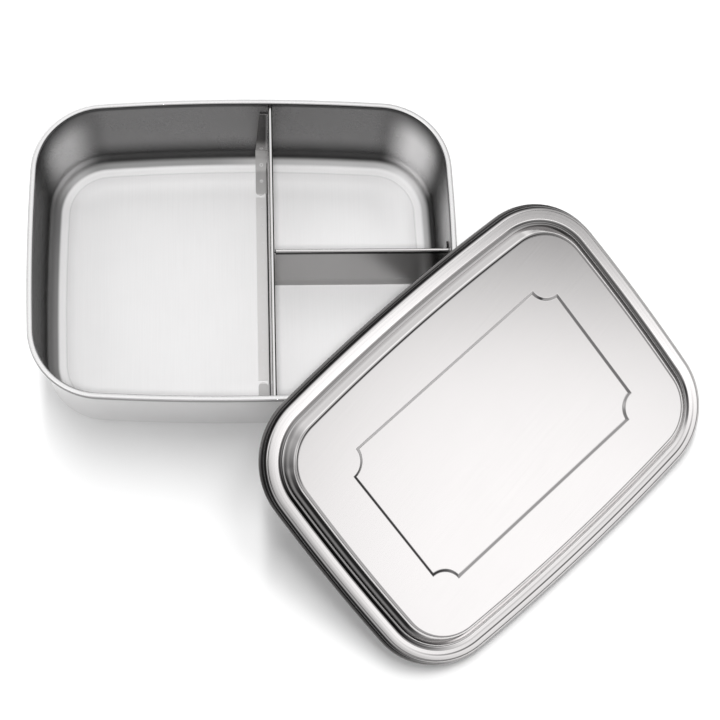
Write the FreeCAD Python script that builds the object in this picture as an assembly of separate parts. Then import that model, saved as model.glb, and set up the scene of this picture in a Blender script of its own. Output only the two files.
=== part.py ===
import FreeCAD, Part
import math
import os

from FreeCAD import Vector

# Driving dimensions, in millimetres and degrees

# Box, measured over the rolled rim
RIM_LENGTH = 214.0
RIM_WIDTH = 161.0
BOX_HEIGHT = 62.0
CORNER_RADIUS = 37.0
LONG_SIDE_RADIUS = 1070.0
SHORT_SIDE_RADIUS = 1050.0
SHEET = 0.6
WALL_DRAFT = 2.3
FLOOR_RADIUS = 8.5
RIM_BEAD_RADIUS = 1.5

# Lid, measured in its own frame with the lowest edge of the lip at height 0
LID_CLEARANCE = 0.35
LID_SKIRT = 6.2
LID_SHOULDER_RADIUS = 1.6
LID_RING_WIDTH = 6.0
LID_VALLEY_WIDTH = 2.6
LID_VALLEY_DEPTH = 0.9
LID_VALLEY_RADIUS = 2.2
LID_DOME_RISE = 6.2
LID_DOME_ANGLE = 55.0
LID_DOME_RADIUS = 2.6
LIP_RADIUS = 1.0
FIELD_LENGTH = 140.0
FIELD_WIDTH = 84.0
FIELD_SCALLOP = 9.6
FIELD_DEPTH = 0.8
FIELD_SLOPE = 1.3

# Lid at rest, leaning on the front right corner of the rim
LID_YAW = 41.5
LID_TOUCH_ALONG = -6.0
LID_TOUCH_PAST = 1.0
LID_TOUCH_GAP = 0.3

# Dividers
MAIN_DIVIDER_X = 13.5
CROSS_DIVIDER_Y = 1.5
MAIN_DIVIDER_DROP = 3.0
CROSS_DIVIDER_DROP = 8.0
DIVIDER_GAP = 0.25
DIVIDER_BEND = 1.3
HEM_WIDTH = 2.0
HEM_HEIGHT = 3.0
FLANGE_WIDTH = 6.3
TAB_DROP = 10.0
TAB_TAPER = 2.0
TAB_EASE = 0.8
TONGUE = 13.5
TONGUE_SPOT = 5.2
RELIEF = 1.2
WELD_DIAMETER = 1.8
WELD_PITCH = 10.0
WELD_DENT = 0.15
WELD_PLAY = 0.05

# Round forms that follow the outline are drawn as short flats, to keep the part light
FLAT_SAG = 0.12
FLATS_IN_TURN = 8
SHORTEST_EDGE = 1e-6

UP = Vector(0, 0, 1)


# Bent sheet sections, drawn in the XZ plane

def unit(start, end):
    """Direction from start to end, with length 1."""
    return (end - start).normalize()


def left_of(direction):
    """Direction turned a quarter turn to its left in the XZ plane."""
    return Vector(-direction.z, 0, direction.x)


def turn(before, after):
    """Angle from one direction to the next, positive to the left."""
    return math.atan2(before.x * after.z - before.z * after.x, before.x * after.x + before.z * after.z)


def polar(centre, radius, degrees):
    """Point at an angle and a distance from a centre in the XZ plane."""
    angle = math.radians(degrees)
    return centre + Vector(radius * math.cos(angle), 0, radius * math.sin(angle))


def polygon(centre, radius, start, end):
    """Points from one angle to another round a centre, between them corners of a regular polygon."""
    step = math.copysign(360 / FLATS_IN_TURN, end - start)
    first = math.floor(start / step) + 1
    last = math.ceil(end / step)
    angles = [start] + [i * step for i in range(first, last)] + [end]
    return [polar(centre, radius, angle) for angle in angles]


def line(start, end):
    return Part.LineSegment(start, end).toShape()


def bent_line(points, radii, closed=False):
    """Edges of a line through the points, with each corner rounded to its radius."""
    count = len(points)
    corners = range(count) if closed else range(1, count - 1)
    arrive = list(points)
    leave = list(points)
    arcs = [None] * count
    for i in corners:
        if radii[i] <= 0:
            continue
        before = unit(points[i - 1], points[i])
        after = unit(points[i], points[(i + 1) % count])
        bend = turn(before, after)
        reach = radii[i] * math.tan(abs(bend) / 2)
        arrive[i] = points[i] - before * reach
        leave[i] = points[i] + after * reach
        centre = arrive[i] + left_of(before) * math.copysign(radii[i], bend)
        middle = centre + (points[i] - centre).normalize() * radii[i]
        arcs[i] = Part.Arc(arrive[i], middle, leave[i]).toShape()
    edges = []
    for i in range(count):
        if arcs[i] is not None:
            edges.append(arcs[i])
        if i + 1 < count or closed:
            target = arrive[(i + 1) % count]
            if (target - leave[i]).Length > SHORTEST_EDGE:
                edges.append(line(leave[i], target))
    return edges


def beside(points, radii, thickness):
    """Points and radii of the other face of a sheet, on the left of the line, or on its right if negative."""
    directions = [unit(a, b) for a, b in zip(points, points[1:])]
    normals = [left_of(direction) for direction in directions]
    moved = [points[0] + normals[0] * thickness]
    for i in range(1, len(points) - 1):
        spread = (normals[i - 1] + normals[i]) * (thickness / (1 + normals[i - 1].dot(normals[i])))
        moved.append(points[i] + spread)
    moved.append(points[-1] + normals[-1] * thickness)
    new_radii = [0.0] * len(points)
    for i in range(1, len(points) - 1):
        side = math.copysign(1, turn(directions[i - 1], directions[i]))
        new_radii[i] = radii[i] - side * thickness
    return moved, new_radii


def face_of(edges):
    return Part.Face(Part.Wire(Part.__sortEdges__(edges)))


def rolled_sheet(points, radii, bead_centre, bead_radius, start, sense):
    """Section of a sheet whose first point touches a tightly rolled bead at an angle.

    The bead turns from there by its sense, -1 for clockwise, until it meets the other face of the sheet.
    """
    other, other_radii = beside(points, radii, -sense * SHEET)
    hidden = math.degrees(math.acos(1 - SHEET / bead_radius))
    bead = polygon(bead_centre, bead_radius, start, start + sense * (360 - hidden))
    other[0] = bead[-1]
    edges = bent_line(points, radii) + bent_line(other, other_radii)
    edges += [line(a, b) for a, b in zip(bead, bead[1:])]
    edges.append(line(points[-1], other[-1]))
    return face_of(edges)


def plain_sheet(points, radii, thickness):
    """Section of a sheet along a bent line, cut square at both ends."""
    other, other_radii = beside(points, radii, thickness)
    edges = bent_line(points, radii) + bent_line(other, other_radii)
    edges.append(line(points[0], other[0]))
    edges.append(line(points[-1], other[-1]))
    return face_of(edges)


# Outline of the rim from above: four bowed sides and four corners, all tangent

def corner_centre():
    """Centre of the corner arc that touches the long and the short side from inside."""
    long_centre = Vector(0, RIM_WIDTH / 2 - LONG_SIDE_RADIUS, 0)
    short_centre = Vector(RIM_LENGTH / 2 - SHORT_SIDE_RADIUS, 0, 0)
    to_long = LONG_SIDE_RADIUS - CORNER_RADIUS
    to_short = SHORT_SIDE_RADIUS - CORNER_RADIUS
    between = short_centre - long_centre
    apart = between.Length
    along = (to_long ** 2 - to_short ** 2 + apart ** 2) / (2 * apart)
    across = math.sqrt(to_long ** 2 - along ** 2)
    ahead = between / apart
    return long_centre + ahead * along + Vector(ahead.y, -ahead.x, 0) * across


def outline_arcs():
    """Centre, radius, first and last angle of the eight arcs, anticlockwise from the right side."""
    long_reach = RIM_WIDTH / 2 - LONG_SIDE_RADIUS
    short_reach = RIM_LENGTH / 2 - SHORT_SIDE_RADIUS
    corner = corner_centre()
    low = math.degrees(math.atan2(corner.y, corner.x - short_reach))
    high = math.degrees(math.atan2(corner.y - long_reach, corner.x))
    return [
        (Vector(short_reach, 0, 0), SHORT_SIDE_RADIUS, -low, low),
        (Vector(corner.x, corner.y, 0), CORNER_RADIUS, low, high),
        (Vector(0, long_reach, 0), LONG_SIDE_RADIUS, high, 180 - high),
        (Vector(-corner.x, corner.y, 0), CORNER_RADIUS, 180 - high, 180 - low),
        (Vector(-short_reach, 0, 0), SHORT_SIDE_RADIUS, 180 - low, 180 + low),
        (Vector(-corner.x, -corner.y, 0), CORNER_RADIUS, 180 + low, 180 + high),
        (Vector(0, -long_reach, 0), LONG_SIDE_RADIUS, 180 + high, 360 - high),
        (Vector(corner.x, -corner.y, 0), CORNER_RADIUS, 360 - high, 360 - low),
    ]


def flatted(section):
    """The same section with each bend drawn as equal flats that leave it by no more than the sag."""
    edges = []
    for edge in section.Edges:
        if not isinstance(edge.Curve, Part.Circle):
            edges.append(edge)
            continue
        radius = edge.Curve.Radius
        widest = 2 * math.acos(1 - FLAT_SAG / radius)
        flats = math.ceil(edge.Length / radius / widest)
        points = edge.discretize(flats + 1)
        edges += [line(a, b) for a, b in zip(points, points[1:])]
    return face_of(edges)


def drawn_ring(section):
    """Solid sectors of a section carried round the outline, its X being the distance outside it."""
    light = flatted(section)
    sectors = []
    for centre, radius, first, last in outline_arcs():
        placed = light.copy()
        placed.translate(Vector(radius, 0, 0))
        placed.rotate(Vector(0, 0, 0), UP, first)
        placed.translate(centre)
        sectors.append(placed.revolve(centre, UP, last - first))
    return sectors


def slab(offset, bottom, top):
    """Plate that fills the rim outline moved outwards by offset."""
    edges = []
    for centre, radius, first, last in outline_arcs():
        edges.append(Part.makeCircle(radius + offset, centre + UP * bottom, UP, first, last))
    return Part.Face(Part.Wire(edges)).extrude(UP * (top - bottom))


def joined(solids):
    """One solid from touching pieces, with no seams left on shared faces."""
    whole = solids[0].multiFuse(solids[1:]).removeSplitter()
    return whole.Solids[0]


# Box body

def bead_centre():
    return Vector(-RIM_BEAD_RADIUS, 0, BOX_HEIGHT - RIM_BEAD_RADIUS)


def wall_top():
    """Inner face of the wall where the rolled bead starts, as distance outside the rim outline and height."""
    return polar(bead_centre(), RIM_BEAD_RADIUS, 180 - WALL_DRAFT)


def wall_at(height):
    """Distance of the wall's inner face outside the rim outline at a height, before the floor radius."""
    top = wall_top()
    return top.x - (top.z - height) * math.tan(math.radians(WALL_DRAFT))


def box_body():
    corner = Vector(wall_at(SHEET), 0, SHEET)
    floor_reach = FLOOR_RADIUS * math.tan(math.radians(90 - WALL_DRAFT) / 2)
    floor_edge = corner.x - floor_reach - SHEET
    points = [wall_top(), corner, Vector(floor_edge, 0, SHEET)]
    section = rolled_sheet(points, [0, FLOOR_RADIUS, 0], bead_centre(), RIM_BEAD_RADIUS, 180 - WALL_DRAFT, -1)
    return joined(drawn_ring(section) + [slab(floor_edge, 0, SHEET)])


# Lid, in its own frame

def panel_top():
    """Height of the raised panel above the lowest edge of the lip."""
    return LID_SKIRT + SHEET + LID_DOME_RISE


def field_prism(top):
    """Tapered block as wide as the sunken field at its top, with circular bites at the corners."""
    wires = []
    for inset, height in ((0, top), (FIELD_SLOPE, top - FIELD_DEPTH)):
        half_length = FIELD_LENGTH / 2 - inset
        half_width = FIELD_WIDTH / 2 - inset
        bite = FIELD_SCALLOP + inset
        short = math.sqrt(bite ** 2 - inset ** 2)
        edges = []
        for quarter in range(4):
            turned = quarter % 2 == 1
            along = half_width if turned else half_length
            across = half_length if turned else half_width
            spin = FreeCAD.Rotation(UP, 90 * quarter)
            corner = Vector(along + inset, across + inset, height)
            start = Vector(along, across + inset - short, height)
            end = Vector(along + inset - short, across, height)
            middle = corner + Vector(-1, -1, 0).normalize() * bite
            side_start = Vector(along, -(across + inset - short), height)
            edges.append(line(spin.multVec(side_start), spin.multVec(start)))
            edges.append(Part.Arc(spin.multVec(start), spin.multVec(middle), spin.multVec(end)).toShape())
        wires.append(Part.Wire(edges))
    return Part.makeLoft(wires, True, True)


def lid_flat():
    """Lid in its own frame: skirt, ring and dome round the outline, and the panel with its field."""
    panel = panel_top()
    under = panel - SHEET
    valley = LID_SKIRT - LID_VALLEY_DEPTH
    dome_run = (under - valley) / math.tan(math.radians(LID_DOME_ANGLE))
    ring_edge = LID_CLEARANCE - LID_RING_WIDTH
    dome_foot = ring_edge - LID_VALLEY_WIDTH
    dome_top = dome_foot - dome_run
    dome_reach = LID_DOME_RADIUS * math.tan(math.radians(LID_DOME_ANGLE) / 2)
    panel_edge = dome_top - dome_reach - SHEET
    points = [
        Vector(LID_CLEARANCE, 0, LIP_RADIUS),
        Vector(LID_CLEARANCE, 0, LID_SKIRT),
        Vector(ring_edge, 0, LID_SKIRT),
        Vector(dome_foot, 0, valley),
        Vector(dome_top, 0, under),
        Vector(panel_edge, 0, under),
    ]
    radii = [0, LID_SHOULDER_RADIUS, 0, LID_VALLEY_RADIUS, LID_DOME_RADIUS, 0]
    lip_centre = Vector(LID_CLEARANCE + LIP_RADIUS, 0, LIP_RADIUS)
    section = rolled_sheet(points, radii, lip_centre, LIP_RADIUS, 180, 1)
    dome = joined(drawn_ring(section) + [slab(panel_edge, under, panel)])
    pressed = dome.fuse(field_prism(under))
    return joined([pressed.cut(field_prism(panel))])


def lid_placement():
    """Place of the lid at rest: one long side on the table, the panel caught on the rim by its field."""
    under = panel_top() - SHEET
    touch_up = FIELD_WIDTH / 2 + LID_TOUCH_PAST
    reach = RIM_WIDTH / 2 + LID_CLEARANCE + LIP_RADIUS + touch_up
    lift = under - LIP_RADIUS - RIM_BEAD_RADIUS - LID_TOUCH_GAP
    climb = BOX_HEIGHT - RIM_BEAD_RADIUS - LIP_RADIUS
    lean = math.asin(climb / math.hypot(reach, lift)) - math.atan2(lift, reach)
    spin = FreeCAD.Rotation(UP, LID_YAW)
    tilt = FreeCAD.Rotation(Vector(1, 0, 0), math.degrees(lean))
    rotation = spin.multiply(tilt)
    normal = rotation.multVec(UP)
    outward = Vector(math.sin(math.radians(LID_YAW)), -math.cos(math.radians(LID_YAW)), 0)
    corner = corner_centre()
    bead_ring = Vector(corner.x, -corner.y, BOX_HEIGHT - RIM_BEAD_RADIUS)
    bead_ring += outward * (CORNER_RADIUS - RIM_BEAD_RADIUS)
    touch = bead_ring + normal * (RIM_BEAD_RADIUS + LID_TOUCH_GAP)
    origin = touch - rotation.multVec(Vector(LID_TOUCH_ALONG, touch_up, under))
    return FreeCAD.Placement(origin, rotation)


def lid():
    solid = lid_flat()
    solid.Placement = lid_placement()
    return solid


# Dividers, in a frame where the sheet stands along Y, its flange points to -X and its hem to +X

def wall_end(half_size, side_radius, off_middle, top, gap, lift):
    """Top corner, floor corner and floor radius of a divider's end at a bowed wall."""
    bow = side_radius - math.sqrt(side_radius ** 2 - off_middle ** 2)
    reach = half_size - bow - gap
    floor = SHEET + lift
    return (reach + wall_at(top), top), (reach + wall_at(floor), floor), FLOOR_RADIUS + TAB_EASE - lift


def web_end(distance, top, gap, lift):
    """Top corner, floor corner and floor radius of a divider's end at another divider's face."""
    reach = distance + gap
    return (reach, top), (reach, SHEET + lift), SHEET + DIVIDER_BEND - lift


def mirrored(end):
    """The same end on the other side of the middle."""
    top, corner, radius = end
    return (-top[0], top[1]), (-corner[0], corner[1]), radius


def floor_tangent(end):
    """Distance along the divider where the flat floor meets the radius at a wall."""
    corner, radius = end[1], end[2]
    return corner[0] - radius * math.tan(math.radians(90 - WALL_DRAFT) / 2)


def end_outline(far, near):
    """Face in the YZ plane between a far and a near end, rounded at both floor corners."""
    flat = [near[0], near[1], far[1], far[0]]
    points = [Vector(y, 0, z) for y, z in flat]
    face = face_of(bent_line(points, [0, near[2], far[2], 0], closed=True))
    face.rotate(Vector(0, 0, 0), UP, 90)
    return face


def tab_bend(end, inward, tab_top):
    """Inner radius of the bend between the standing sheet and the tab at an end, inward +1 or -1."""
    (top_y, top_z), (foot_y, foot_z), radius = end
    sag = DIVIDER_BEND * (1 - math.sqrt(0.5))
    corner = Vector(0, 0, 0)
    on_tab = Vector(-DIVIDER_BEND, 0, 0)
    on_web = Vector(0, inward * DIVIDER_BEND, 0)
    hollow = Part.Arc(on_tab, Vector(-sag, inward * sag, 0), on_web).toShape()
    face = Part.Face(Part.Wire([line(corner, on_tab), hollow, line(on_web, corner)]))
    slope = (top_y - foot_y) / (top_z - foot_z)
    face.translate(Vector(0, foot_y + slope * radius, foot_z + radius))
    return face.extrude(Vector(0, slope, 1) * (tab_top - foot_z - radius))


def divider_sheet(ends, top):
    """Bent sheet with floor flange, end tabs and hem, for ends given as a function of gap and lift."""
    flange_top = SHEET + SHEET
    tab_top = BOX_HEIGHT - TAB_DROP
    inner_ends = ends(DIVIDER_GAP + SHEET, SHEET)
    outer = end_outline(*ends(DIVIDER_GAP, 0))
    inner = end_outline(*inner_ends)
    box = outer.BoundBox
    section = plain_sheet(
        [
            Vector(-FLANGE_WIDTH, 0, flange_top),
            Vector(0, 0, flange_top),
            Vector(0, 0, top),
            Vector(HEM_WIDTH, 0, top),
            Vector(HEM_WIDTH, 0, top - HEM_HEIGHT),
        ],
        [0, DIVIDER_BEND, HEM_WIDTH / 2, HEM_WIDTH / 2, 0],
        -SHEET,
    )
    section.translate(Vector(0, box.YMin, 0))
    bent = section.extrude(Vector(0, box.YLength, 0))
    outer.translate(Vector(-FLANGE_WIDTH, 0, 0))
    inner.translate(Vector(-FLANGE_WIDTH, 0, 0))
    bent = bent.common(outer.extrude(Vector(FLANGE_WIDTH + HEM_WIDTH, 0, 0)))
    tab = Vector(FLANGE_WIDTH + SHEET / 2, 0, 0)
    strip = outer.extrude(tab).cut(inner.extrude(tab))
    trim = Part.makePolygon([
        Vector(-FLANGE_WIDTH, box.YMin, FLOOR_RADIUS),
        Vector(-FLANGE_WIDTH + TAB_TAPER, box.YMin, tab_top),
        Vector(SHEET, box.YMin, tab_top),
        Vector(SHEET, box.YMin, BOX_HEIGHT),
        Vector(-FLANGE_WIDTH, box.YMin, BOX_HEIGHT),
        Vector(-FLANGE_WIDTH, box.YMin, FLOOR_RADIUS),
    ])
    strip = strip.cut(Part.Face(trim).extrude(Vector(0, box.YLength, 0)))
    far, near = inner_ends
    return bent.fuse([strip, tab_bend(far, -1, tab_top), tab_bend(near, 1, tab_top)])


def relief(wall, side):
    """Cut that parts the floor flange from the tongue of a wall tab and rounds the tongue's end."""
    tongue_end = floor_tangent(wall) - TONGUE
    radius = (FLANGE_WIDTH - DIVIDER_BEND) / 2
    middle = -FLANGE_WIDTH + radius
    block = Part.makeBox(2 * radius, RELIEF + radius, SHEET)
    block.translate(Vector(-FLANGE_WIDTH, tongue_end - RELIEF, SHEET))
    block = block.cut(Part.makeCylinder(radius, SHEET, Vector(middle, tongue_end + radius, SHEET)))
    if side < 0:
        block = block.mirror(Vector(0, 0, 0), Vector(0, 1, 0))
    return block


def weld_spots(first, last):
    """Places along the floor flange, at an even pitch about the middle of a stretch."""
    gaps = int((last - first) / WELD_PITCH)
    start = (first + last - gaps * WELD_PITCH) / 2
    return [start + i * WELD_PITCH for i in range(gaps + 1)]


def weld_studs(spots, radius, height):
    """Short studs that stand on the floor at the spots, in the middle of the flange."""
    studs = []
    for y in spots:
        foot = Vector(-FLANGE_WIDTH / 2, y, SHEET)
        edge = Part.makePolygon([foot + spoke for spoke in polygon(Vector(), radius, 0, 360)])
        edge.rotate(foot, Vector(1, 0, 0), -90)
        studs.append(Part.Face(edge).extrude(UP * height))
    return Part.Compound(studs)


def weld_holes(spots):
    return weld_studs(spots, WELD_DIAMETER / 2 + WELD_PLAY, SHEET)


def weld_nuggets(spots):
    """Weld spots inside the flange, each a little lower than the flange."""
    return weld_studs(spots, WELD_DIAMETER / 2, SHEET - WELD_DENT)


def main_ends(gap, lift):
    """Both ends of the main divider, at the back and the front wall."""
    top = BOX_HEIGHT - MAIN_DIVIDER_DROP
    back = wall_end(RIM_WIDTH / 2, LONG_SIDE_RADIUS, MAIN_DIVIDER_X, top, gap, lift)
    return back, mirrored(back)


def cross_ends(gap, lift):
    """Both ends of the cross divider, at the right wall and the face of the main divider."""
    top = BOX_HEIGHT - CROSS_DIVIDER_DROP
    right = wall_end(RIM_LENGTH / 2, SHORT_SIDE_RADIUS, CROSS_DIVIDER_Y, top, gap, lift)
    return right, web_end(MAIN_DIVIDER_X + SHEET, top, gap, lift)


def main_divider():
    """Main divider and its weld nuggets."""
    wall = main_ends(DIVIDER_GAP, 0)[0]
    flange_end = floor_tangent(wall) - TONGUE - RELIEF - WELD_DIAMETER
    tongue_spot = floor_tangent(wall) - TONGUE_SPOT
    spots = [-tongue_spot] + weld_spots(-flange_end, flange_end) + [tongue_spot]
    cuts = [relief(wall, 1), relief(wall, -1), weld_holes(spots)]
    sheet = joined([divider_sheet(main_ends, BOX_HEIGHT - MAIN_DIVIDER_DROP).cut(Part.Compound(cuts))])
    pieces = [sheet, weld_nuggets(spots)]
    for piece in pieces:
        piece.translate(Vector(MAIN_DIVIDER_X, 0, 0))
    return pieces


def cross_divider():
    """Cross divider, which ends below the hem of the main divider, and its weld nuggets."""
    wall, web = cross_ends(DIVIDER_GAP, 0)
    first = web[1][0] + FLANGE_WIDTH
    flange_end = floor_tangent(wall) - TONGUE - RELIEF - WELD_DIAMETER
    spots = weld_spots(first, flange_end) + [floor_tangent(wall) - TONGUE_SPOT]
    cuts = [relief(wall, 1), weld_holes(spots)]
    sheet = joined([divider_sheet(cross_ends, BOX_HEIGHT - CROSS_DIVIDER_DROP).cut(Part.Compound(cuts))])
    pieces = [sheet, weld_nuggets(spots)]
    for piece in pieces:
        piece.rotate(Vector(0, 0, 0), UP, -90)
        piece.translate(Vector(0, CROSS_DIVIDER_Y, 0))
    return pieces


def main():
    main_sheet, main_welds = main_divider()
    cross_sheet, cross_welds = cross_divider()
    nodes = {
        "box_body": box_body(),
        "main_divider": main_sheet,
        "main_divider_spot_welds": main_welds,
        "cross_divider": cross_sheet,
        "cross_divider_spot_welds": cross_welds,
        "lid": lid(),
    }
    os.makedirs("parts", exist_ok=True)
    for name, shape in nodes.items():
        shape.exportStep(os.path.join("parts", name + ".step"))
        print(name, "solids", len(shape.Solids), "valid", shape.isValid(), "volume", round(shape.Volume, 1))


main()
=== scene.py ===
# %% [markdown]
# # A steel lunch box with three compartments
# The box is drawn from one sheet of steel and its edge is rolled outwards. Two bent sheets are
# spot welded to its floor and walls, and a loose lid with a domed panel leans on one corner. The
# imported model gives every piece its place. Here the drawn pieces are made again with true round
# bends, and each sheet gets its finish.

# %% Load the frame
import math

import bpy
import numpy as np
from mathutils import Matrix, Vector
from mathutils.bvhtree import BVHTree


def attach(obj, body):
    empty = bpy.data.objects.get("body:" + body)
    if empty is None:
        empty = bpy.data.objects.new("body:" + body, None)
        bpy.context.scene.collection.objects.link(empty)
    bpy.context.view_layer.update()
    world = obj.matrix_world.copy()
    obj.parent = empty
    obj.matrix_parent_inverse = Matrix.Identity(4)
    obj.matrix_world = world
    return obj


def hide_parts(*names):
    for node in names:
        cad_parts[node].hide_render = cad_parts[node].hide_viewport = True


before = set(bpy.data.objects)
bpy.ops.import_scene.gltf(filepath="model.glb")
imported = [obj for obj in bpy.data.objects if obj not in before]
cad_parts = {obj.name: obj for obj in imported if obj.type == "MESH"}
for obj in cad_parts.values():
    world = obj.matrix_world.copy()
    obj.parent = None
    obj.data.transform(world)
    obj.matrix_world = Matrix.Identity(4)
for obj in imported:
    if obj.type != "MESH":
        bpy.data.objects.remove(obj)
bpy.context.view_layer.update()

MM = 0.001

# %% [markdown]
# ## The outline that body and lid share
# Seen from above, the rim has four round corners and sides that bow out a little, so it is eight
# arcs that meet smoothly. It could be a bezier curve, but with arcs the outward direction is
# known at each point, and an outline further in or out is only a step along it. One quarter is
# worked out, and the other three are mirrored from it.

# %% The outline of the rim
RIM_LENGTH = 214.0
RIM_WIDTH = 161.0
CORNER_RADIUS = 37.0
LONG_SIDE_RADIUS = 1070.0
SHORT_SIDE_RADIUS = 1050.0
CORNER_X = 69.16255
CORNER_Y = 41.18208
SHORT_STEPS = 8
CORNER_STEPS = 26
LONG_STEPS = 10


def four_quarters(quarter):
    """Closed ring from a quarter that runs from the +X axis to the +Y axis.

    The quarter is mirrored left, turned half round and mirrored down, each in the running
    direction, and the points on the axes are kept once. It works on (..., K, 2) arrays."""
    left = (quarter * (-1, 1))[..., ::-1, :]
    down = (quarter * (1, -1))[..., ::-1, :]
    runs = [quarter, left, -quarter, down]
    return np.concatenate([run[..., :-1, :] for run in runs], axis=-2)


def rim_outline():
    """Points round the rim and the outward direction at each, two (N, 2) arrays.

    A point is centre + radius * (cos a, sin a) on its arc, and (cos a, sin a) points outwards."""
    short_x = RIM_LENGTH / 2 - SHORT_SIDE_RADIUS
    long_y = RIM_WIDTH / 2 - LONG_SIDE_RADIUS
    first = math.atan2(CORNER_Y, CORNER_X - short_x)
    last = math.atan2(CORNER_Y - long_y, CORNER_X)
    angle = np.concatenate([
        np.linspace(0, first, SHORT_STEPS + 1)[:-1],
        np.linspace(first, last, CORNER_STEPS + 1)[:-1],
        np.linspace(last, math.pi / 2, LONG_STEPS + 1),
    ])
    counts = [SHORT_STEPS, CORNER_STEPS, LONG_STEPS + 1]
    centre = np.repeat([(short_x, 0), (CORNER_X, CORNER_Y), (0, long_y)], counts, axis=0)
    radius = np.repeat([SHORT_SIDE_RADIUS, CORNER_RADIUS, LONG_SIDE_RADIUS], counts)
    outward = np.stack([np.cos(angle), np.sin(angle)], axis=1)
    quarter = centre + radius[:, None] * outward
    return four_quarters(quarter), four_quarters(outward)


rim, rim_outward = rim_outline()
print("rim points", len(rim), "size", np.ptp(rim, axis=0).round(2))

# %% [markdown]
# ## Bent sheet seen from its edge
# Each drawn piece is one section carried round that outline. The section is a line with rounded
# corners, and the second face of the sheet lies beside it, one thickness away. A modifier could
# thicken a single face, but at a rolled edge both faces have to meet, so both are worked out
# here. A flat stretch gets one more point close to each bend, which keeps its shading flat.

# %% A line with rounded corners
SHEET = 0.6
BEND_STEPS = 14
HOLD = 0.12


def bent_line(corners, radii, steps=BEND_STEPS):
    """Points along a line with rounded corners, and the direction to the right of travel at each.

    A corner that turns by t is an arc of radius r, which starts r * tan(t / 2) before the corner.
    Its points are start + r * (sin a * ahead + (1 - cos a) * inside) for a from 0 to t."""
    corners = np.array(corners, float)
    ahead = np.diff(corners, axis=0)
    ahead /= np.linalg.norm(ahead, axis=1)[:, None]
    right = np.stack([ahead[:, 1], -ahead[:, 0]], axis=1)
    points = [corners[:1]]
    normals = [right[:1]]
    for at, r, a, b, side in zip(corners[1:-1], radii, ahead[:-1], ahead[1:], right[:-1]):
        cross = a[0] * b[1] - a[1] * b[0]
        turn = abs(math.atan2(cross, a @ b))
        sense = math.copysign(1, cross)
        angle = np.linspace(0, turn, steps + 1)[:, None]
        start = at - r * math.tan(turn / 2) * a
        arc = start + r * (np.sin(angle) * a - sense * (1 - np.cos(angle)) * side)
        normal = np.cos(angle) * side + sense * np.sin(angle) * a
        points += [arc[:1] - HOLD * a, arc, arc[-1:] + HOLD * b]
        normals += [normal[:1], normal, normal[-1:]]
    points.append(corners[-1:])
    normals.append(right[-1:])
    return np.concatenate(points), np.concatenate(normals)


print("a bend has", BEND_STEPS + 1, "points, and one more", HOLD, "mm past each end")

# %% [markdown]
# ## A rolled edge, and a section carried round
# The edge of a drawn sheet is rolled, so that it is stiff and doesn't cut. The roll is nearly a
# full circle, which the tool flattens a little. A curve with a bevel could carry a section round
# the outline, but here each ring is known by its number, and the finishes make use of that.

# %% Rolled edges and rings
EDGE_STEPS = 48


def rolled_edge(centre, radius, first, last, power=1.0):
    """Points of a rolled edge from the angle first to the angle last, in degrees.

    Each is centre + radius * (c |c|^(power - 1), s |s|^(power - 1)) with c and s the cosine and
    sine: a circle at power 1, and flatter on top, below and at the sides for a smaller power."""
    angle = np.radians(np.linspace(first, last, EDGE_STEPS + 1))[:, None]
    wave = np.concatenate([np.cos(angle), np.sin(angle)], axis=1)
    return np.array(centre) + radius * np.sign(wave) * np.abs(wave) ** power


def raised(flat, heights):
    """Rings (T, N, 3) from flat rings (T, N, 2), each lifted to its own height."""
    level = np.broadcast_to(heights[:, None, None], flat.shape[:2] + (1,))
    return np.concatenate([flat, level], axis=2)


def carried(section):
    """Rings of a section (x, z): outline + x * outward direction, at height z."""
    return raised(rim + section[:, :1, None] * rim_outward, section[:, 1])


def shrunk(ring, shares):
    """Rings inside a level ring: each is the ring scaled towards the middle by its share."""
    return raised(shares[:, None, None] * ring[:, :2], np.full(len(shares), ring[0, 2]))


print("a rolled edge has", EDGE_STEPS + 1, "points and a ring", len(rim))

# %% [markdown]
# ## From rings to a mesh
# Rings that follow each other become strips of quads, and the first and last ring close to a
# middle point. Blender's bridge tool could join rings too, but with index arrays the order of the
# faces is known, and the finishes use it. The sign of the enclosed volume tells whether the faces
# point outwards.

# %% Rings into one closed mesh
SHARP_DEGREES = 38


def closed_shell(rings):
    """Vertices (V, 3) and faces of stacked rings (T, N, 3), closed at both ends by a middle point.

    The quad between ring t and t + 1 joins points n and n + 1, and the last point joins the first.
    The volume is the sum over triangles of a . (b x c) / 6, and a negative one turns the faces."""
    count, around = rings.shape[:2]
    points = np.concatenate([rings.reshape(-1, 3), rings[[0, -1]].mean(axis=1)])
    index = np.arange(count * around).reshape(count, around)
    ahead = np.roll(index, -1, axis=1)
    quads = np.stack([index[:-1], ahead[:-1], ahead[1:], index[1:]], axis=2).reshape(-1, 4)
    low = np.stack([ahead[0], index[0], np.full(around, count * around)], axis=1)
    high = np.stack([index[-1], ahead[-1], np.full(around, count * around + 1)], axis=1)
    triangles = np.concatenate([quads[:, :3], quads[:, [0, 2, 3]], low, high])
    a, b, c = points[triangles].transpose(1, 0, 2)
    if np.einsum("ij,ij->", a, np.cross(b, c)) < 0:
        quads, low, high = quads[:, ::-1], low[:, ::-1], high[:, ::-1]
    return points, quads.tolist() + low.tolist() + high.tolist()


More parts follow.
